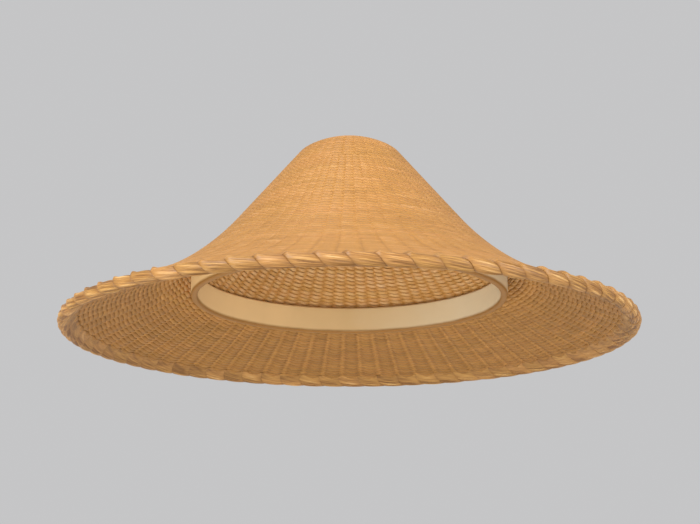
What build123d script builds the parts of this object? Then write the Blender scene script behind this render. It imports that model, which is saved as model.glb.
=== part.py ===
"""A conical hat, twined from split cane, with a rolled rope border and a smooth headband.

Millimetres, +Z up. The origin is on the hat's axis, in the plane that the rim rests on.

The hat's outline is the line that the stakes follow, half way through the weave. Places on
it are given by the distance down the slope from the apex, and by an offset along the
outward normal. Every piece of the weave is made from that one outline.
"""

import math
import os
from collections import namedtuple

from build123d import *

# The outline: a flattened dome, a tight shoulder, a straight cone, a flare and a shallow brim
RIM_DIAMETER = 376.0  # over the rope border
ROPE_DIAMETER = 7.5
CROWN_RISE = 132.8  # from the middle of the rope to the stakes' height at the apex
DOME_RADIUS = 59.0
DOME_TURN = math.radians(31.5)  # slope where the dome meets the shoulder
SHOULDER_RADIUS = 13.0
CONE_SLOPE = math.radians(50.5)
FLARE_RADIUS = 192.0
BRIM_SLOPE = math.radians(24.5)

# The weave: two layers of weft with the stakes between them
STAKE_COUNT = 72  # half start at the apex, and half are added where the gaps grow wide
STAKE_DIAMETER = 1.3
STAKE_PLAY = 0.05  # between a stake and each weft layer
WEFT_THICKNESS = 1.1
APEX_RADIUS = 9.0  # of the knot that the main stakes start from
ADDED_RIB_RADIUS = 46.0
WEFT_SEAM = 0.1  # gap between one band of weaving and the next
STITCHED_SEAM = 1.1  # the same, where the headband's stitches pass through
ROPE_GAP = 0.2  # between the last row of weft and the rope

# Bands of weaving, named by place, each from the one before it out to this radius
WEFT_BANDS = {
    "crown_cap": 28.0,
    "crown_upper": 62.0,
    "crown_lower": 109.4,  # the headband is sewn on through the seam below this band
    "flare": 131.0,
    "brim_inner": 156.0,
    "brim_outer": None,  # runs out to the rope
}
STITCHED_BAND = "crown_lower"

# The rope border: a hoop with the stakes' tails wrapped round it, one wrap to a stake
HOOP_DIAMETER = 4.3
WRAP_GAP = 0.3  # groove between one wrap and the next, in degrees

# The headband
HEADBAND_INNER_RADIUS = 100.0
HEADBAND_THICKNESS = 4.4
HEADBAND_LOW = 25.4
HEADBAND_HEIGHT = 19.3  # its upper outer edge just clears the weave
HEADBAND_EDGE = 1.6  # rounding of all its edges
STITCH_COUNT = 12
STITCH_DIAMETER = 1.0
STITCH_DEPTH = 2.2  # into the headband's outer face

# Worked out from the above
STAKE_STEP = 360.0 / STAKE_COUNT
ROPE_RADIUS = ROPE_DIAMETER / 2
RIM_RADIUS = RIM_DIAMETER / 2 - ROPE_RADIUS  # to the middle of the rope
APEX_HEIGHT = ROPE_RADIUS + CROWN_RISE
WEFT_START = STAKE_DIAMETER / 2 + STAKE_PLAY
WEFT_END = WEFT_START + WEFT_THICKNESS
HEADBAND_HIGH = HEADBAND_LOW + HEADBAND_HEIGHT

# One stretch of the outline. The radius is positive on a bulge, negative in a hollow, and zero
# where the outline is straight.
Stretch = namedtuple("Stretch", "start slope radius length")


def outward(slope):
    """The outward normal where the outline falls away at this slope."""
    return Vector(math.sin(slope), 0, math.cos(slope))


def downhill(slope):
    """The direction down the outline at this slope."""
    return Vector(math.cos(slope), 0, -math.sin(slope))


def slope_on(stretch, distance):
    """How steeply the outline falls away, this far along a stretch."""
    return stretch.slope + (distance / stretch.radius if stretch.radius else 0.0)


def on_stretch(stretch, distance, offset=0.0):
    """The point this far along a stretch, moved by offset along the outward normal."""
    if not stretch.radius:
        along = stretch.start + downhill(stretch.slope) * distance
        return along + outward(stretch.slope) * offset
    centre = stretch.start - outward(stretch.slope) * stretch.radius
    return centre + outward(slope_on(stretch, distance)) * (stretch.radius + offset)


def make_outline():
    """The outline's stretches, each tangent to the next, from the apex to the middle of the rope.

    The arcs are given, and the two straight stretches are as long as it takes to reach the rope.
    """
    dome = outward(DOME_TURN) - outward(0)
    shoulder = outward(CONE_SLOPE) - outward(DOME_TURN)
    flare = outward(CONE_SLOPE) - outward(BRIM_SLOPE)
    arcs = dome * DOME_RADIUS + shoulder * SHOULDER_RADIUS + flare * FLARE_RADIUS
    rest = Vector(RIM_RADIUS, 0, -CROWN_RISE) - arcs
    across = math.sin(CONE_SLOPE - BRIM_SLOPE)
    cone_length = -(rest.X * math.sin(BRIM_SLOPE) + rest.Z * math.cos(BRIM_SLOPE)) / across
    brim_length = (rest.X * math.sin(CONE_SLOPE) + rest.Z * math.cos(CONE_SLOPE)) / across

    plan = (
        (0.0, DOME_RADIUS, DOME_RADIUS * DOME_TURN),
        (DOME_TURN, SHOULDER_RADIUS, SHOULDER_RADIUS * (CONE_SLOPE - DOME_TURN)),
        (CONE_SLOPE, 0.0, cone_length),
        (CONE_SLOPE, -FLARE_RADIUS, FLARE_RADIUS * (CONE_SLOPE - BRIM_SLOPE)),
        (BRIM_SLOPE, 0.0, brim_length),
    )
    stretches = []
    start = Vector(0, 0, APEX_HEIGHT)
    for slope, radius, length in plan:
        stretches.append(Stretch(start, slope, radius, length))
        start = on_stretch(stretches[-1], length)
    return stretches


OUTLINE = make_outline()


def distance_at(radius):
    """How far down the slope the outline reaches this radius, found by halving."""
    passed = 0.0
    for stretch in OUTLINE:
        if on_stretch(stretch, stretch.length).X < radius:
            passed += stretch.length
            continue
        low, high = 0.0, stretch.length
        while high - low > 1e-6:
            middle = (low + high) / 2
            if on_stretch(stretch, middle).X < radius:
                low = middle
            else:
                high = middle
        return passed + low
    return passed


def run_of(start, end, offset):
    """The outline's edges between two distances down the slope, moved by offset."""
    edges = []
    passed = 0.0
    for stretch in OUTLINE:
        low = max(start - passed, 0.0)
        high = min(end - passed, stretch.length)
        if high - low > 1e-4:
            first = on_stretch(stretch, low, offset)
            last = on_stretch(stretch, high, offset)
            if stretch.radius:
                middle = on_stretch(stretch, (low + high) / 2, offset)
                edges.append(Edge.make_three_point_arc(first, middle, last))
            else:
                edges.append(Edge.make_line(first, last))
        passed += stretch.length
    return edges


def layer(start, end, inner, outer):
    """A ring of weaving between two distances down the slope and two offsets."""
    below = run_of(start, end, inner)
    above = run_of(start, end, outer)
    ends = [
        Edge.make_line(below[0] @ 0, above[0] @ 0),
        Edge.make_line(below[-1] @ 1, above[-1] @ 1),
    ]
    return revolve(make_face(below + above + ends), Axis.Z)


def stake(start, end):
    """One round cane that follows the outline, in the plane of +X and +Z."""
    path = Wire(run_of(start, end, 0.0))
    section = Plane(path @ 0, z_dir=path % 0) * Circle(STAKE_DIAMETER / 2)
    return sweep(section, path=path)


def ring_of(piece, count, first_angle=0.0):
    """Copies of a piece, evenly spaced around the hat's axis."""
    return [Rot(0, 0, first_angle + n * 360.0 / count) * piece for n in range(count)]


def stakes(first_radius, first_angle):
    """Half of the stakes, from this radius to the rope, every second place."""
    reach = distance_at(RIM_RADIUS - ROPE_RADIUS - ROPE_GAP)
    return ring_of(stake(distance_at(first_radius), reach), STAKE_COUNT // 2, first_angle)


def weft_limits():
    """The distances down the slope where each band of weaving starts and ends."""
    limits = {}
    start = distance_at(APEX_RADIUS) + WEFT_SEAM
    for name, radius in WEFT_BANDS.items():
        end = distance_at(radius or RIM_RADIUS - ROPE_RADIUS - ROPE_GAP)
        limits[name] = (start, end)
        start = end + (STITCHED_SEAM if name == STITCHED_BAND else WEFT_SEAM)
    return limits


def rope_hoop():
    """The round hoop inside the rope border."""
    return revolve(Plane.XZ * Pos(RIM_RADIUS, ROPE_RADIUS) * Circle(HOOP_DIAMETER / 2), Axis.Z)


def rope_wraps(first_angle):
    """Half of the wraps around the hoop, every second place."""
    section = Circle(ROPE_RADIUS) - Circle(HOOP_DIAMETER / 2)
    turn = STAKE_STEP - WRAP_GAP
    wrap = revolve(Plane.XZ * Pos(RIM_RADIUS, ROPE_RADIUS) * section, Axis.Z, turn)
    return ring_of(wrap, STAKE_COUNT // 2, first_angle - turn / 2)


def headband():
    """The smooth ring that sits on the head, with every edge rounded."""
    middle = HEADBAND_INNER_RADIUS + HEADBAND_THICKNESS / 2
    section = RectangleRounded(HEADBAND_THICKNESS, HEADBAND_HEIGHT, HEADBAND_EDGE)
    place = Pos(middle, (HEADBAND_LOW + HEADBAND_HIGH) / 2)
    return revolve(Plane.XZ * place * section, Axis.Z)


def stitches(seam_start):
    """The threads that hold the headband, in the gaps between stakes.

    Each runs square to the weave, from inside the headband's wall, up through the seam that
    starts this far down the slope, to the middle of the stakes.
    """
    passed = 0.0
    for stretch in OUTLINE:
        if passed + stretch.length > seam_start:
            break
        passed += stretch.length
    distance = seam_start + STITCHED_SEAM / 2 - passed
    top = on_stretch(stretch, distance)
    axis = outward(slope_on(stretch, distance))
    inner_end = HEADBAND_INNER_RADIUS + HEADBAND_THICKNESS - STITCH_DEPTH
    length = (top.X - inner_end) / axis.X
    thread = Plane(top, z_dir=axis * -1) * extrude(Circle(STITCH_DIAMETER / 2), length)
    return ring_of(thread, STITCH_COUNT, STAKE_STEP / 2)


def save(name, solids):
    """Write one node, with each of its pieces as a separate solid."""
    shape = Compound(children=list(solids)) if len(solids) > 1 else solids[0]
    shape.label = name
    export_step(shape, f"parts/{name}.step")


def main():
    os.makedirs("parts", exist_ok=True)

    apex_distance = distance_at(APEX_RADIUS)
    save("apex_knot", [layer(0.0, apex_distance, -WEFT_END, WEFT_END)])
    first_stake = APEX_RADIUS + WEFT_SEAM
    save("main_stakes", stakes(first_stake, 0.0))
    save("added_stakes", stakes(ADDED_RIB_RADIUS, STAKE_STEP))

    limits = weft_limits()
    for name, (start, end) in limits.items():
        save(f"{name}_outer_weft", [layer(start, end, WEFT_START, WEFT_END)])
        save(f"{name}_inner_weft", [layer(start, end, -WEFT_END, -WEFT_START)])

    sewn = stitches(limits[STITCHED_BAND][1])
    band = headband()
    for thread in sewn:
        band -= thread
    save("headband", [band])
    save("headband_stitches", sewn)

    save("rope_hoop", [rope_hoop()])
    save("main_stake_wraps", rope_wraps(0.0))
    save("added_stake_wraps", rope_wraps(STAKE_STEP))


main()
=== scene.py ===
"""The looks of a conical hat twined from split cane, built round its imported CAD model.

Metres, +Z up, in the CAD's own frame. The weave, the rope border, the stakes and the headband
are meshes made here, and each stands for the plain solid that holds its place in the frame.
"""

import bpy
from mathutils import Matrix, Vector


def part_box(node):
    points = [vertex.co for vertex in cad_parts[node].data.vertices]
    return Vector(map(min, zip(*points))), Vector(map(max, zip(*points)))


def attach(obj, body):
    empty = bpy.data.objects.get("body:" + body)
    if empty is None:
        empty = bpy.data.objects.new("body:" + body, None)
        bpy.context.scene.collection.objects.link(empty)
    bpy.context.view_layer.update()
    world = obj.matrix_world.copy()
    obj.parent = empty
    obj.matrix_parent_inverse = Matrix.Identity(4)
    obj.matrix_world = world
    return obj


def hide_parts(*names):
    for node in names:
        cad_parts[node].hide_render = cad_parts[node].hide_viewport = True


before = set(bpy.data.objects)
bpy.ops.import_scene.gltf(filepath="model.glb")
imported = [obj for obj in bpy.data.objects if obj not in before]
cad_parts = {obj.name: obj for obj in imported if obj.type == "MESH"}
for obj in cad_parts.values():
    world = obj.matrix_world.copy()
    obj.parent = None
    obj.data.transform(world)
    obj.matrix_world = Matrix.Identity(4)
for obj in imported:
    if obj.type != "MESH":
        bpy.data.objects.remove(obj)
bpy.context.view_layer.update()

import math

import bpy
import numpy as np

MM = 0.001
RNG = np.random.default_rng(7)

# ---------------------------------------------------------------------------------------------
# Sizes, in metres and radians. Places come from the frame's nodes.
# ---------------------------------------------------------------------------------------------

HOOP_LOW, HOOP_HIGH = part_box("rope_hoop")
HOOP_RADIUS = (HOOP_HIGH[2] - HOOP_LOW[2]) / 2
RIM_RADIUS = HOOP_HIGH[0] - HOOP_RADIUS  # to the middle of the rope
ROPE_HEIGHT = (HOOP_HIGH[2] + HOOP_LOW[2]) / 2
ROPE_RADIUS = ROPE_HEIGHT  # the rope rests on the ground
APEX_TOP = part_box("apex_knot")[1][2]

# The outline that the stakes follow: dome, shoulder, straight cone, flare and straight brim
WEAVE_HALF = 1.8 * MM  # half of the weave's whole thickness
APEX_HEIGHT = APEX_TOP - WEAVE_HALF
DOME_RADIUS = 59.0 * MM
DOME_TURN = math.radians(31.5)
SHOULDER_RADIUS = 13.0 * MM
CONE_SLOPE = math.radians(50.5)
FLARE_RADIUS = 192.0 * MM
BRIM_SLOPE = math.radians(24.5)

# The stakes, and the pairs of weft strands that twine round them
STAKES = 72
STAKE_STEP = 2 * math.pi / STAKES
STAKE_RADIUS = 0.65 * MM
APEX_RADIUS = 9.0 * MM
PAIRED_RADIUS = 24.0 * MM  # above this the main stakes run two by two
ADDED_RADIUS = 46.0 * MM  # the added stakes start here
ROW_PITCH = 3.15 * MM
WEFT_SIDES = 8
WEFT_SAMPLES = 6  # along a strand, from one stake to the next

# A strand's section, flat where it passes a stake and rounder where it crosses its partner
OUTER_HALF_WIDTH = 1.80 * MM
BRIM_HALF_WIDTH = 1.74 * MM  # on the inside, under the brim
CROWN_HALF_WIDTH = 1.46 * MM  # on the inside, in the crown
CROSS_HALF_WIDTH = 1.42 * MM
FLAT_HALF_DEPTH = 0.58 * MM
CROSS_HALF_DEPTH = 1.25 * MM
WEFT_RISE = 0.62 * MM  # from the row's middle to the strand's, between stakes
CROWN_FADE = (105.0 * MM, 135.0 * MM)  # where the crown's strands give way to the brim's, inside

# The coil of cane that starts the weaving, over the apex
COIL_TURNS = 6
COIL_OFFSET = 1.0 * MM  # from the weave's middle to the strand's
COIL_HALF_WIDTH = 1.03 * MM
COIL_HALF_DEPTH = 0.75 * MM
START_HALF_LENGTH = 1.3 * MM  # of the cane's own start, and its half width too
START_HALF_DEPTH = 0.9 * MM

BANDS = {  # name: the radius where the band of weaving ends
    "crown_cap": 28.0 * MM,
    "crown_upper": 62.0 * MM,
    "crown_lower": 109.4 * MM,
    "flare": 131.0 * MM,
    "brim_inner": 156.0 * MM,
    "brim_outer": RIM_RADIUS,
}

# The headband, and the threads that tie it to the weave
BAND_BORE_RADIUS = 100.0 * MM
BAND_THICKNESS = 4.4 * MM
BAND_EDGE = 1.6 * MM  # the radius of its rounded edges
BAND_CROWN = 0.18 * MM  # how far its faces bulge
STITCHES = 12
STITCH_START = 102.2 * MM  # inside the headband's wall
STITCH_DROP = 0.55 * MM  # below the line where the lower crown ends
PLY_RADIUS = 0.27 * MM
PLY_OFFSET = 0.22 * MM  # from the thread's middle to the ply's
PLY_TURN = 1.1 * MM  # the length in which a ply goes half way round its partner

# The rope border, one wrap to a stake. Angles round the rope start at the outside and go up.
WRAP_CORE = HOOP_RADIUS + 0.05 * MM  # a wrap's inner face lies on the hoop
WRAP_CREST = ROPE_RADIUS + 0.2 * MM  # and its outer face is the rope's
WRAP_TOP = math.radians(138)  # where a wrap starts, on top of the weave
WRAP_LEAVES = math.radians(-133.2)  # where the tail leaves the rope's round, in a straight line
WRAP_TAIL = math.radians(-200.6)  # where it ends, tucked up into the weave
WRAP_THICKNESS = 1.5 * MM
WRAP_LAY = 1.05  # steps that a wrap moves on in one turn
WRAP_FIBRES = 17  # canes that fit round the rope
WRAP_RIDGE = 0.50 * MM  # how far each cane stands out from its bundle
WRAP_KNOB = 1.25 * MM  # how far a wrap stands out where it starts, on top of the rope
# Where a wrap's mesh is cut, as parts of the way to the next wrap
WRAP_PARTS = (0, 0.015, 0.04, 0.08, 0.14, 0.22, 0.34, 0.48, 0.64, 0.80, 0.91, 0.97, 1.02)

# The camera, as seen from below the rim
CAMERA_DISTANCE = 0.837  # from the hat's axis
CAMERA_DROP = 0.1794  # below the middle of the rope
CAMERA_PITCH = 0.266
CAMERA_LENS = 66.7  # on a 36 mm sensor
CAMERA_SHIFT = 0.001


# ---------------------------------------------------------------------------------------------
# The outline
# ---------------------------------------------------------------------------------------------


def outward(slope):
    """The outward normal's radial and upward parts, at this slope."""
    return np.array([np.sin(slope), np.cos(slope)])


def downhill(slope):
    """The downhill direction's radial and upward parts, at this slope."""
    return np.array([np.cos(slope), -np.sin(slope)])


def make_outline():
    """The outline's stretches as (start, slope, radius, length), from the apex to the rope."""
    arcs = (outward(DOME_TURN) - outward(0)) * DOME_RADIUS
    arcs += (outward(CONE_SLOPE) - outward(DOME_TURN)) * SHOULDER_RADIUS
    arcs += (outward(CONE_SLOPE) - outward(BRIM_SLOPE)) * FLARE_RADIUS
    rest = np.array([RIM_RADIUS, ROPE_HEIGHT - APEX_HEIGHT]) - arcs
    across = math.sin(CONE_SLOPE - BRIM_SLOPE)
    cone = -(rest @ [math.sin(BRIM_SLOPE), math.cos(BRIM_SLOPE)]) / across
    brim = (rest @ [math.sin(CONE_SLOPE), math.cos(CONE_SLOPE)]) / across
    plan = (
        (0.0, DOME_RADIUS, DOME_RADIUS * DOME_TURN),
        (DOME_TURN, SHOULDER_RADIUS, SHOULDER_RADIUS * (CONE_SLOPE - DOME_TURN)),
        (CONE_SLOPE, 0.0, cone),
        (CONE_SLOPE, -FLARE_RADIUS, FLARE_RADIUS * (CONE_SLOPE - BRIM_SLOPE)),
        (BRIM_SLOPE, 0.0, brim),
    )
    stretches = []
    start = np.array([0.0, APEX_HEIGHT])
    for slope, radius, length in plan:
        stretches.append((start, slope, radius, length))
        if radius:
            end_slope = slope + length / radius
            start = start + (outward(end_slope) - outward(slope)) * radius
        else:
            start = start + downhill(slope) * length
    return stretches


OUTLINE = make_outline()
OUTLINE_LENGTH = sum(stretch[3] for stretch in OUTLINE)


def follow(distance):
    """(radius, height, slope) of the outline at each distance down the slope."""
    distance = np.asarray(distance, float)
    radius_out = np.zeros_like(distance)
    height_out = np.zeros_like(distance)
    slope_out = np.zeros_like(distance)
    passed = 0.0
    for start, slope, radius, length in OUTLINE:
        here = distance >= passed
        along = distance[here] - passed
        if radius:
            slopes = slope + along / radius
            point = start[:, None] + (outward(slopes) - outward(slope)[:, None]) * radius
        else:
            slopes = np.full_like(along, slope)
            point = start[:, None] + downhill(slope)[:, None] * along
        radius_out[here] = point[0]
        height_out[here] = point[1]
        slope_out[here] = slopes
        passed += length
    return radius_out, height_out, slope_out


def distance_at(radius):
    """How far down the slope the outline reaches this radius."""
    samples = np.linspace(0.0, OUTLINE_LENGTH, 4000)
    return float(np.interp(radius, follow(samples)[0], samples))


def on_weave(distance, angle, offset):
    """Points on the weave, with the outward and downhill directions there."""
    radius, height, slope = follow(distance)
    radial = np.stack([np.cos(angle), np.sin(angle), np.zeros_like(angle)], -1)
    up = np.array([0.0, 0.0, 1.0])
    normal = radial * np.sin(slope)[:, None] + up * np.cos(slope)[:, None]
    down = radial * np.cos(slope)[:, None] - up * np.sin(slope)[:, None]
    point = radial * radius[:, None] + up * height[:, None] + normal * offset[:, None]
    return point, normal, down


# ---------------------------------------------------------------------------------------------
# Mesh helpers
# ---------------------------------------------------------------------------------------------


class Build:
    """Collects the points, faces and per-point values of one piece."""

    def __init__(self):
        self.points = []
        self.faces = []
        self.grain = []
        self.tone = []
        self.count = 0

    def add(self, points, faces, grain, tone):
        self.points.append(points)
        self.grain.append(grain)
        self.tone.append(tone)
        self.faces += [[i + self.count for i in face] for face in faces]
        self.count += len(points)

    def finish(self, name, material, *nodes, slot):
        """Make the object, ride it on the body, and let it stand for the CAD nodes."""
        mesh = bpy.data.meshes.new(name)
        mesh.from_pydata(np.concatenate(self.points), [], self.faces)
        grain = mesh.attributes.new("grain", "FLOAT_VECTOR", "POINT")
        grain.data.foreach_set("vector", np.concatenate(self.grain).astype(np.float32).ravel())
        tone = mesh.attributes.new("tone", "FLOAT", "POINT")
        tone.data.foreach_set("value", np.concatenate(self.tone).astype(np.float32))
        mesh.shade_smooth()
        mesh.materials.append(material)
        piece = bpy.data.objects.new(name, mesh)
        bpy.context.scene.collection.objects.link(piece)
        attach(piece, "root")
        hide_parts(*nodes)


def tube(build, centre, wide, thin, half_width, half_thickness, sides, tone, squareness=1.0):
    """A strand with a flattened section, swept along centre, with closed ends.

    The section is an ellipse, or below a squareness of 1 a rectangle with well rounded corners.
    """
    count = len(centre)
    turn = np.arange(sides) * 2 * math.pi / sides
    across = np.sign(np.cos(turn)) * np.abs(np.cos(turn)) ** squareness
    through = np.sign(np.sin(turn)) * np.abs(np.sin(turn)) ** squareness
    half_width = np.broadcast_to(half_width, count)
    half_thickness = np.broadcast_to(half_thickness, count)
    points = (
        centre[:, None, :]
        + wide[:, None, :] * (half_width[:, None] * across)[..., None]
        + thin[:, None, :] * (half_thickness[:, None] * through)[..., None]
    )
    steps = np.linalg.norm(np.diff(centre, axis=0), axis=1)
    along = np.concatenate([[0.0], np.cumsum(steps)])
    grain = np.empty((count, sides, 3))
    grain[..., 0] = along[:, None]
    grain[..., 1] = half_width[:, None] * across
    grain[..., 2] = half_thickness[:, None] * through
    ring = np.arange(sides)
    start = np.arange(count - 1)[:, None] * sides
    quads = np.stack(
        [
            start + ring,
            start + (ring + 1) % sides,
            start + sides + (ring + 1) % sides,
            start + sides + ring,
        ],
        -1,
    ).reshape(-1, 4)
    faces = quads.tolist()
    faces.append(ring[::-1].tolist())
    faces.append((ring + (count - 1) * sides).tolist())
    tones = np.repeat(np.broadcast_to(tone, count), sides)
    build.add(points.reshape(-1, 3), faces, grain.reshape(-1, 3), tones)


def slow_noise(where, spacing, size):
    """Smooth random values along a line, about one new value in each spacing."""
    knots = np.arange(where.min() - spacing, where.max() + 2 * spacing, spacing)
    values = RNG.normal(0.0, size, len(knots))
    return np.interp(where, knots, values)


# ---------------------------------------------------------------------------------------------
# Materials
# ---------------------------------------------------------------------------------------------


def new_material(name):
    """An empty node material, its node maker and its Principled shader."""
    material = bpy.data.materials.new(name)
    material.use_nodes = True
    nodes = material.node_tree.nodes
    links = material.node_tree.links

    def add(kind, inputs=None, **settings):
        node = nodes.new(kind)
        for key, value in settings.items():
            setattr(node, key, value)
        for key, value in (inputs or {}).items():
            if isinstance(value, bpy.types.NodeSocket):
                links.new(value, node.inputs[key])
            else:
                node.inputs[key].default_value = value
        return node

    shader = nodes["Principled BSDF"]
    return material, add, links, shader


def cane(name, dark, middle, pale, roughness, has_grain=True):
    """Split cane: long fibres, slow changes of tone and of warmth, and a dull shine.

    The grain and tone come with each strand. A solid that has neither takes its own axes.
    """
    material, add, links, shader = new_material(name)
    if has_grain:
        grain = add("ShaderNodeAttribute", attribute_name="grain").outputs["Vector"]
    else:
        grain = add("ShaderNodeTexCoord").outputs["Object"]
    tone = add("ShaderNodeAttribute", attribute_name="tone")

    def noise(scale, detail):
        stretch = add("ShaderNodeMapping", {"Vector": grain, "Scale": scale})
        return add("ShaderNodeTexNoise", {"Vector": stretch.outputs[0], "Scale": 1.0,
                                          "Detail": detail}).outputs[0]

    fibres = noise((90, 2600, 2600), 3.0)
    patches = add("ShaderNodeMapRange", {"Value": noise((28, 200, 200), 2.0), "To Min": 0.22,
                                         "To Max": 0.78})
    mixed = add("ShaderNodeMath", {0: fibres, 1: patches.outputs[0]}, operation="ADD")
    toned = add("ShaderNodeMath", {0: mixed.outputs[0], 1: tone.outputs["Fac"]}, operation="ADD")
    halved = add("ShaderNodeMath", {0: toned.outputs[0], 1: 0.5}, operation="MULTIPLY")
    ramp = add("ShaderNodeValToRGB", {"Fac": halved.outputs[0]})
    ramp.color_ramp.elements[0].position = 0.28
    ramp.color_ramp.elements[0].color = (*dark, 1)
    ramp.color_ramp.elements[1].position = 0.84
    ramp.color_ramp.elements[1].color = (*pale, 1)
    ramp.color_ramp.elements.new(0.56).color = (*middle, 1)
    warmth = add("ShaderNodeValToRGB", {"Fac": noise((14, 90, 90), 1.0)})
    warmth.color_ramp.elements[0].position = 0.38
    warmth.color_ramp.elements[0].color = (0.98, 1.0, 0.93, 1)
    warmth.color_ramp.elements[1].position = 0.62
    warmth.color_ramp.elements[1].color = (1.0, 0.98, 1.0, 1)
    colour = add("ShaderNodeMix", {"Factor": 1.0}, data_type="RGBA", blend_type="MULTIPLY")
    links.new(ramp.outputs["Color"], colour.inputs["A"])
    links.new(warmth.outputs["Color"], colour.inputs["B"])
    links.new(colour.outputs["Result"], shader.inputs["Base Color"])
    rough = add("ShaderNodeMapRange", {"Value": fibres, "To Min": roughness - 0.08,
                                       "To Max": roughness + 0.10})
    links.new(rough.outputs[0], shader.inputs["Roughness"])
    bump = add("ShaderNodeBump", {"Height": fibres, "Strength": 0.12, "Distance": 0.3 * MM})
    links.new(bump.outputs[0], shader.inputs["Normal"])
    shader.inputs["Specular IOR Level"].default_value = 0.38
    return material


def band_finish(name, inner_radius, low_edge):
    """The headband's smooth leather: fine pores, a colour that runs from tan to paler cream across
    the ring as painted light from one side, and painted shade along the low edge.
    """
    material, add, links, shader = new_material(name)
    place = add("ShaderNodeTexCoord")
    pores = add("ShaderNodeTexVoronoi", {"Vector": place.outputs["Object"], "Scale": 1500.0})
    mottle = add("ShaderNodeTexNoise", {"Vector": place.outputs["Object"], "Scale": 42.0,
                                        "Detail": 4.0})
    where = add("ShaderNodeSeparateXYZ", {"Vector": place.outputs["Object"]})
    # Painted light: the colour runs from tan on the -X side to a paler cream on the +X side, with
    # the mottle as the leather's own drift
    side = add("ShaderNodeMapRange", {"Value": where.outputs["X"], "From Min": -inner_radius,
                                      "From Max": inner_radius})
    drift = add("ShaderNodeMapRange", {"Value": mottle.outputs[0], "To Min": -0.12, "To Max": 0.12})
    side_light_and_mottle = add("ShaderNodeMath", {0: side.outputs[0], 1: drift.outputs[0]}, operation="ADD")
    ramp = add("ShaderNodeValToRGB", {"Fac": side_light_and_mottle.outputs[0]})
    ramp.color_ramp.elements[0].position = 0.1
    ramp.color_ramp.elements[0].color = (0.76, 0.53, 0.28, 1)
    ramp.color_ramp.elements[1].position = 0.9
    ramp.color_ramp.elements[1].color = (0.63, 0.52, 0.37, 1)
    ramp.color_ramp.elements.new(0.5).color = (0.59, 0.415, 0.22, 1)
    # Painted shade along the low edge: a dark brown that fades out upwards over a few millimetres,
    # along a wandering line
    wander = add("ShaderNodeMath", {0: mottle.outputs[0], 1: 1.2 * MM}, operation="MULTIPLY")
    above = add("ShaderNodeMath", {0: where.outputs["Z"], 1: wander.outputs[0]},
                operation="SUBTRACT")
    above_edge_shade = add("ShaderNodeMapRange", {"Value": above.outputs[0], "From Min": low_edge + 0.3 * MM,
                                       "From Max": low_edge + 2.6 * MM},
                interpolation_type="SMOOTHSTEP")
    painted_edge_shade_mix = add("ShaderNodeMix", {"Factor": above_edge_shade.outputs[0], "B": ramp.outputs["Color"]},
               data_type="RGBA")
    painted_edge_shade_mix.inputs["A"].default_value = (0.25, 0.105, 0.010, 1)
    links.new(painted_edge_shade_mix.outputs["Result"], shader.inputs["Base Color"])
    bump = add("ShaderNodeBump", {"Height": pores.outputs["Distance"], "Strength": 0.10,
                                  "Distance": 0.1 * MM})
    links.new(bump.outputs[0], shader.inputs["Normal"])
    shader.inputs["Roughness"].default_value = 0.48
    shader.inputs["Specular IOR Level"].default_value = 0.45
    return material


# ---------------------------------------------------------------------------------------------
# The pieces
# ---------------------------------------------------------------------------------------------


def smooth(x, low, high):
    """From 0 at low to 1 at high, level at both ends."""
    share = np.clip((x - low) / (high - low), 0.0, 1.0)
    return share * share * (3 - 2 * share)


def stake_angle(place):
    """The angle of a stake, or of a place between two, each a little off its even place."""
    first = np.floor(place).astype(int)
    share = place - first
    drift = STAKE_DRIFT[first % STAKES] * (1 - share) + STAKE_DRIFT[(first + 1) % STAKES] * share
    return (place + drift) * STAKE_STEP


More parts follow.
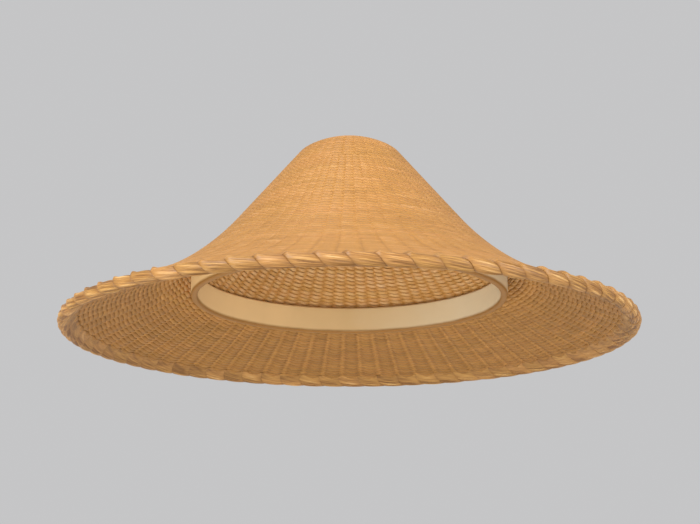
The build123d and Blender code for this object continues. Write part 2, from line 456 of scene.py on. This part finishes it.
def weaver(build, first_turn, last_turn, side):
    """One strand of the twined pair, round and round from one turn to another.

    Side 0 passes outside the first stake, and side 1 inside it, and they trade at each stake.
    """
    tallies = np.interp((first_turn, last_turn), ZONE_TURNS, ZONE_TALLIES)
    count = int(round((tallies[1] - tallies[0]) * WEFT_SAMPLES)) + 1
    tally = np.linspace(tallies[0], tallies[1], count)  # of the stakes passed
    turns = np.interp(tally, ZONE_TALLIES, ZONE_TURNS)
    angle = stake_angle(turns * STAKES)
    row = np.minimum(turns, TURNS)
    even = FIRST_ROW + row * PITCH
    gap = follow(even)[0] * STAKE_STEP
    hug = 0.13 * smooth(gap, 5 * MM, 12 * MM)  # wide gaps leave a short bulge at each stake
    twist = math.pi * (tally + side) + hug * np.sin(2 * math.pi * tally)
    cosine = np.cos(twist)
    sine = np.sin(twist)
    cross = sine * sine
    uneven = 1 + slow_noise(tally, 1.0, 0.035)
    inner = np.maximum(-cosine, 0) ** 1.4  # how near the strand is to its innermost place
    inside = smooth(-cosine, 0.2, 0.9)
    in_crown = smooth(follow(even)[0], CROWN_FADE[1], CROWN_FADE[0])
    narrowest = BRIM_HALF_WIDTH * (1 - in_crown) + CROWN_HALF_WIDTH * in_crown
    wide = OUTER_HALF_WIDTH * (1 - inside) + narrowest * inside
    width = (wide + (CROSS_HALF_WIDTH - wide) * cross**3) * uneven
    depth = (FLAT_HALF_DEPTH + (CROSS_HALF_DEPTH - FLAT_HALF_DEPTH) * cross) * uneven
    sway = 0.35 * MM * np.sin(2 * angle + 0.05 * row) + 0.25 * MM * np.sin(5 * angle - 0.07 * row)
    calm = smooth(row, 0, 8) * smooth(TURNS - row, 0, 8)
    distance = even + sway * calm + slow_noise(tally, 1.5, 0.04 * MM) + WEFT_RISE * sine
    flush = WEAVE_HALF - depth  # the outer face is level, and the inner one has deep dips
    dive = (WEAVE_HALF - CROSS_HALF_DEPTH) * (1 - inner) - (WEAVE_HALF - FLAT_HALF_DEPTH) * inner
    offset = np.where(cosine > 0, flush, dive)
    centre, normal, down = on_weave(distance, angle, offset)
    tone = slow_noise(tally, 9.0, 0.035) + slow_noise(tally, 70.0, 0.03)
    # Painted highlight where a strand's inner face bulges in, and painted shade in the dips beside
    # it
    painted_highlight = smooth(-cosine, 0.1, 0.6)
    painted_dip_shade = smooth(-cosine, 0.0, 0.2) * (1 - painted_highlight)
    # Inside, the bulging faces get a painted highlight and the dips between them painted shade.
    # Under the brim the inner faces are darkened as painted shade.
    tone = tone + (0.31 * painted_highlight - 0.22 * painted_dip_shade) * (0.70 + 0.30 * in_crown)
    tone = tone - 0.48 * smooth(-cosine, -0.12, 0.25) * (1 - in_crown)
    tube(build, centre, down, normal, width, depth, WEFT_SIDES, tone, squareness=0.62)


def make_weft(material):
    """Each band of weaving, as its two strands."""
    start = 0
    for name, radius in BANDS.items():
        end = round((distance_at(radius) - FIRST_ROW) / PITCH)
        if name == "brim_outer":
            end = TURNS + 1  # the last turn stays level, under the rope
        for side, layer in enumerate(("outer", "inner")):
            build = Build()
            weaver(build, start, end, side)
            build.finish(f"weft_{name}_{'ab'[side]}", material, f"{name}_{layer}_weft", slot="weft")
        start = end


def make_stakes(material):
    """The round canes. Near the apex the main ones close up into pairs."""
    for name, node, first_radius, odd in (
        ("stakes_main", "main_stakes", APEX_RADIUS, 0),
        ("stakes_added", "added_stakes", ADDED_RADIUS, 1),
    ):
        build = Build()
        distance = np.linspace(distance_at(first_radius), distance_at(RIM_RADIUS - HOOP_RADIUS), 90)
        radius = follow(distance)[0]
        paired = smooth(radius, PAIRED_RADIUS + 10 * MM, PAIRED_RADIUS) * (1 - odd)
        for n in range(STAKES // 2):
            place = 2 * n + odd
            partner = place - place % 4
            beside = (0.75 if place % 4 else -0.75) * MM / radius
            apart = stake_angle(np.full(len(radius), float(place)))
            together = stake_angle(np.full(len(radius), float(partner))) + beside
            angle = apart * (1 - paired) + together * paired + slow_noise(distance, 60 * MM, 0.001)
            centre, normal, down = on_weave(distance, angle, np.zeros_like(distance))
            sideways = np.cross(normal, down)
            tone = slow_noise(distance, 30 * MM, 0.05) + RNG.normal(0, 0.05)
            tube(build, centre, sideways, normal, STAKE_RADIUS, STAKE_RADIUS, 8, tone)
        build.finish(name, material, node, slot="stakes")


def make_apex(material):
    """The start of the weaving: a tight coil of cane over the crossing of the main stakes."""
    build = Build()
    turns = np.linspace(0.52, COIL_TURNS, 460)
    share = (turns - 0.5) / (COIL_TURNS - 0.5)
    distance = (APEX_RADIUS + 2.0 * MM) * share  # it ends where the first row of weft starts
    angle = turns * 2 * math.pi
    lift = 0.15 * MM * np.cos(angle * 4.5)
    for side in (1, -1):
        centre, normal, down = on_weave(distance, angle, side * (COIL_OFFSET + lift))
        tone = slow_noise(turns, 0.4, 0.08)
        tube(build, centre, down, normal, COIL_HALF_WIDTH, COIL_HALF_DEPTH, 8, tone)
    # The cane's own start, folded under the middle of the coil
    reach = np.linspace(-START_HALF_LENGTH, START_HALF_LENGTH, 8)
    centre = np.stack([reach, np.zeros(8), np.full(8, APEX_HEIGHT)], -1)
    wide = np.broadcast_to([0.0, 1.0, 0.0], centre.shape)
    thin = np.broadcast_to([0.0, 0.0, 1.0], centre.shape)
    tube(build, centre, wide, thin, START_HALF_LENGTH, START_HALF_DEPTH, 8, 0.0)
    build.finish("apex_coil", material, "apex_knot", slot="weft")


def make_wrap(build, number):
    """One wrap: a flat bundle of canes laid round the hoop, with a knob where it starts.

    Its far edge runs up to the start of the next wrap.
    """
    around = np.linspace(WRAP_TOP, WRAP_TAIL, 140)
    phi, part = np.meshgrid(around, WRAP_PARTS, indexing="ij")
    lay = WRAP_LAY * (1 + RNG.normal(0, 0.008))
    first = number + RNG.normal(0, 0.008)
    angle = (first + part - lay * phi / (2 * math.pi)) * STAKE_STEP

    phase = (phi + 0.35 * part + 0.25 * part * part) * WRAP_FIBRES / (2 * math.pi)
    phase = phase + 0.30 * np.sin(2 * phase + RNG.uniform(0, 6.28)) + RNG.uniform(0, 1)
    fibre = np.floor(phase).astype(int) % WRAP_FIBRES
    stands = RNG.normal(0, 0.07 * MM, WRAP_FIBRES + 1)[fibre]
    ridge = WRAP_RIDGE * (np.abs(np.sin(math.pi * phase)) ** 0.8 - 0.8) + stands

    bulge = np.sin(math.pi * np.clip(part, 0, 1) ** 0.8) ** 0.45
    bulge = 1 - (1 - bulge) * (0.55 + 0.45 * smooth(phi, -2.4, -0.9))  # shallower underneath
    fullness = 1 + RNG.normal(0, 0.04)
    free = smooth(phi, WRAP_TAIL, WRAP_LEAVES + 0.4) * smooth(-phi, -WRAP_TOP, -WRAP_TOP + 0.5)
    parted = bulge * smooth(part, 0.08, 0.40)  # the canes lie together at the knob
    split = free * parted
    knob = np.exp(-(((part - 0.16) / 0.11) ** 2)) * smooth(phi, 0.2, 1.1) * free
    section = WRAP_CREST / np.cos(np.minimum(phi - WRAP_LEAVES, 0.0))
    inner = np.maximum(WRAP_CORE, section - WRAP_THICKNESS)
    height = (section - inner) * (0.45 + 0.55 * bulge) * fullness * (0.6 + 0.4 * free)
    outer = inner + np.maximum(height + ridge * split + WRAP_KNOB * knob, 0.15 * MM)

    def place(rho):
        reach = RIM_RADIUS + rho * np.cos(phi)
        height = ROPE_HEIGHT + rho * np.sin(phi)
        return np.stack([reach * np.cos(angle), reach * np.sin(angle), height], -1)

    # The outer face, and under it one strip from edge to edge
    rows, columns = phi.shape
    upper = place(outer).reshape(-1, 3)
    lower = place(inner)[:, [0, -1]].reshape(-1, 3)
    index = np.arange(rows * columns).reshape(rows, columns)
    under = rows * columns + np.arange(rows * 2).reshape(rows, 2)

    def strip(left, right):
        return np.stack([left[:-1], left[1:], right[1:], right[:-1]], -1).reshape(-1, 4).tolist()

    faces = []
    for n in range(columns - 1):
        faces += strip(index[:, n], index[:, n + 1])
    faces += strip(under[:, 0], index[:, 0])
    faces += strip(index[:, -1], under[:, 1])
    faces += strip(under[:, 1], under[:, 0])
    faces.append([under[0, 0], *index[0], under[0, 1]])
    faces.append([under[-1, 1], *index[-1, ::-1], under[-1, 0]])

    along = part * STAKE_STEP * RIM_RADIUS + number * 0.37
    grain = np.stack([along, section * np.cos(phi), section * np.sin(phi)], -1)
    tucked = smooth(-phi, 1.9, 2.6)  # the paler tail, on the rope's inner side
    shown = split + (parted - split) * 0.6 * tucked
    # The ridge term gives painted shade in the valleys between canes and a painted highlight on
    # their crests; the stands term is each cane's own tone
    tone = (0.50 * ridge / WRAP_RIDGE + 2.0 * stands / MM) * shown
    # Painted shade: each wrap is darkened where it thins towards the grooves between wraps
    tone = tone - 0.32 * (1 - bulge) + 0.07 * tucked
    # Painted shade: the rope is darker on its underside; the random term is each wrap's own tone
    tone = tone - 0.10 * smooth(-phi, 0.6, 2.0) + RNG.normal(0, 0.04)
    edge = grain[:, [0, -1]].reshape(-1, 3)
    build.add(
        np.concatenate([upper, lower]),
        faces,
        np.concatenate([grain.reshape(-1, 3), edge]),
        np.concatenate([tone.ravel(), tone[:, [0, -1]].ravel()]),
    )


def make_rope(material):
    """The rope border, as the tails of the main stakes and those of the added ones."""
    for name, node, odd in (
        ("rope_main", "main_stake_wraps", 0),
        ("rope_added", "added_stake_wraps", 1),
    ):
        build = Build()
        for n in range(STAKES // 2):
            make_wrap(build, 2 * n + odd)
        build.finish(name, material, node, slot="rope")


def make_headband(material):
    """The smooth ring, with rounded edges and a face that is not quite flat."""
    low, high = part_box("headband")
    outer_radius = high[0]
    half = BAND_THICKNESS / 2
    middle = outer_radius - half
    half_height = (high[2] - low[2]) / 2
    flat = half_height - BAND_EDGE
    corners = (
        (half - BAND_EDGE, flat, 0.0),
        (-half + BAND_EDGE, flat, 0.5),
        (-half + BAND_EDGE, -flat, 1.0),
        (half - BAND_EDGE, -flat, 1.5),
    )
    section = []
    for x, z, quarter in corners:
        for part in np.linspace(0, 0.5, 7):
            turn = (quarter + part) * math.pi
            section.append((x + BAND_EDGE * math.cos(turn), z + BAND_EDGE * math.sin(turn)))
        if quarter in (0.5, 1.5):
            way = -1 if quarter == 0.5 else 1
            for share in np.linspace(-1, 1, 12)[1:-1]:
                bulge = BAND_CROWN * (1 - share * share)
                section.append((way * (half + bulge), way * share * flat))
    section = np.array(section)
    count = 540
    angle = np.arange(count) * 2 * math.pi / count
    sway = sum(
        RNG.normal(0, 0.10 * MM) * np.cos(k * angle + RNG.uniform(0, 6.28)) / k for k in range(2, 9)
    )
    radius = middle + section[None, :, 0] + sway[:, None]
    height = (low[2] + high[2]) / 2 + np.broadcast_to(section[:, 1], radius.shape)
    x, y = radius * np.cos(angle)[:, None], radius * np.sin(angle)[:, None]
    points = np.stack([x, y, height], -1).reshape(-1, 3)
    sides = len(section)
    row = np.arange(count)[:, None] * sides
    column = np.arange(sides)
    nxt = (np.arange(count)[:, None] + 1) % count * sides
    right = (column + 1) % sides
    faces = np.stack([row + column, nxt + column, nxt + right, row + right], -1).reshape(-1, 4)
    build = Build()
    build.add(points, faces.tolist(), points, np.zeros(len(points)))
    build.finish("headband_ring", material, "headband", slot="headband")


def make_stitches(material):
    """The threads that tie the headband to the weave, each a twisted pair of plies."""
    outer_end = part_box("headband_stitches")[1][0]
    distance = np.array([distance_at(BANDS["crown_lower"]) + STITCH_DROP])
    build = Build()
    for n in range(STITCHES):
        angle = np.array([(n * STAKES / STITCHES + 0.5) * STAKE_STEP])
        top, normal, down = on_weave(distance, angle, np.zeros(1))
        sideways = np.cross(normal, down)[0]
        outwards = normal[0, :2].dot([math.cos(angle[0]), math.sin(angle[0])])
        along = np.linspace(0, (outer_end - STITCH_START) / outwards, 30)
        for ply in (0, math.pi):
            turn = along / PLY_TURN * math.pi + ply
            shift = np.cos(turn)[:, None] * down[0] + np.sin(turn)[:, None] * sideways
            centre = top[0] - along[:, None] * normal[0] + shift * PLY_OFFSET
            wide = np.broadcast_to(down[0], centre.shape)
            thin = np.broadcast_to(sideways, centre.shape)
            tube(build, centre, wide, thin, PLY_RADIUS, PLY_RADIUS, 6, 0.0)
    build.finish("headband_ties", material, "headband_stitches", slot="thread")


def make_camera():
    """The camera, below the rim and looking up a little."""
    data = bpy.data.cameras.new("camera")
    data.lens = CAMERA_LENS
    data.sensor_width = 36.0
    data.shift_x = CAMERA_SHIFT
    data.clip_end = 50.0
    camera = bpy.data.objects.new("camera", data)
    camera.location = (0, -CAMERA_DISTANCE, ROPE_HEIGHT - CAMERA_DROP)
    camera.rotation_euler = (math.pi / 2 + CAMERA_PITCH, 0, 0)
    bpy.context.scene.collection.objects.link(camera)
    bpy.context.scene.camera = camera


def area_light(name, place, size, power, spread=180.0, colour=(1, 1, 1)):
    """A soft square light that faces the hat."""
    data = bpy.data.lights.new(name, "AREA")
    data.size = size
    data.energy = power
    data.color = colour
    data.spread = math.radians(spread)
    light = bpy.data.objects.new(name, data)
    light.location = place
    aim = np.array([0.0, 0.0, 0.04]) - np.array(place)
    turn = math.atan2(aim[1], aim[0]) - math.pi / 2
    light.rotation_euler = (math.pi / 2 + math.atan2(aim[2], math.hypot(aim[0], aim[1])), 0, turn)
    light.visible_camera = False
    bpy.context.scene.collection.objects.link(light)


def make_studio():
    """A pale floor below the camera, a pale surround, and soft lights above, beside and below."""
    mesh = bpy.data.meshes.new("floor")
    reach = 8.0
    floor_height = -0.80  # well below the hat, so that the low camera stays above it
    corners = ((-reach, -reach), (reach, -reach), (reach, reach), (-reach, reach))
    mesh.from_pydata([(x, y, floor_height) for x, y in corners], [], [(0, 1, 2, 3)])
    material, add, links, shader = new_material("floor_paint")
    noise = add("ShaderNodeTexNoise", {"Scale": 3.0})
    ramp = add("ShaderNodeValToRGB", {"Fac": noise.outputs[0]})
    ramp.color_ramp.elements[0].color = (0.62, 0.61, 0.60, 1)
    ramp.color_ramp.elements[1].color = (0.66, 0.65, 0.64, 1)
    links.new(ramp.outputs["Color"], shader.inputs["Base Color"])
    shader.inputs["Roughness"].default_value = 0.9
    mesh.materials.append(material)
    floor = bpy.data.objects.new("floor", mesh)
    bpy.context.scene.collection.objects.link(floor)

    world = bpy.data.worlds.new("studio")
    world.use_nodes = True
    background = world.node_tree.nodes["Background"]
    background.inputs["Color"].default_value = (0.80, 0.80, 0.81, 1)
    background.inputs["Strength"].default_value = 0.70
    bpy.context.scene.world = world

    area_light("key", (-1.8, -2.2, 1.5), 1.6, 114)
    area_light("right", (2.6, -1.6, 0.9), 1.6, 70)
    area_light("top", (0.0, -0.3, 2.4), 1.6, 14)
    for name, x, y, power in (("left", -0.9, -0.2, 3.6), ("front", 0.0, -1.5, 5.7),
                              ("right", 0.9, -0.2, 1.7)):
        area_light("below_" + name, (x, y, -0.7), 0.5, power, spread=140, colour=(1, 1, 0.80))


# ---------------------------------------------------------------------------------------------
# The scene
# ---------------------------------------------------------------------------------------------

STAKE_DRIFT = RNG.normal(0, 0.07, STAKES)  # how far each stake stands off its even place, in steps

# Rows of weft are counted in turns from the first, and the stakes passed on the way in tallies.
FIRST_ROW = distance_at(APEX_RADIUS) + ROW_PITCH * 0.5
LAST_ROW = distance_at(RIM_RADIUS) - ROPE_RADIUS + 0.6 * MM
TURNS = round((LAST_ROW - FIRST_ROW) / ROW_PITCH)
PITCH = (LAST_ROW - FIRST_ROW) / TURNS
PAIRED_TURN = round((distance_at(PAIRED_RADIUS) - FIRST_ROW) / PITCH)
ADDED_TURN = round((distance_at(ADDED_RADIUS) - FIRST_ROW) / PITCH)
ZONE_TURNS = np.array([0, PAIRED_TURN, ADDED_TURN, TURNS + 1])
ZONE_COUNTS = np.array([STAKES // 4, STAKES // 2, STAKES])
ZONE_TALLIES = np.concatenate([[0], np.cumsum(np.diff(ZONE_TURNS) * ZONE_COUNTS)])

bpy.context.scene.view_settings.view_transform = "Standard"

WEFT = cane("cane_weft", (0.225, 0.096, 0.015), (0.412, 0.191, 0.043), (0.60, 0.390, 0.21), 0.50)
STAKE = cane("cane_stake", (0.24, 0.10, 0.03), (0.40, 0.20, 0.06), (0.52, 0.30, 0.12), 0.5)
ROPE = cane("cane_rope", (0.165, 0.066, 0.012), (0.400, 0.198, 0.054), (0.57, 0.355, 0.150), 0.45)
HOOP = cane("cane_hoop", (0.24, 0.10, 0.03), (0.40, 0.20, 0.06), (0.52, 0.30, 0.12), 0.5, False)
BAND = band_finish("band_leather", BAND_BORE_RADIUS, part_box("headband")[0][2])
THREAD = cane("linen_thread", (0.22, 0.11, 0.04), (0.36, 0.20, 0.08), (0.45, 0.28, 0.13), 0.70)

make_camera()
make_weft(WEFT)
make_stakes(STAKE)
make_apex(WEFT)
make_rope(ROPE)
make_headband(BAND)
make_stitches(THREAD)
make_studio()

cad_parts["rope_hoop"].material_slots[0].material = HOOP
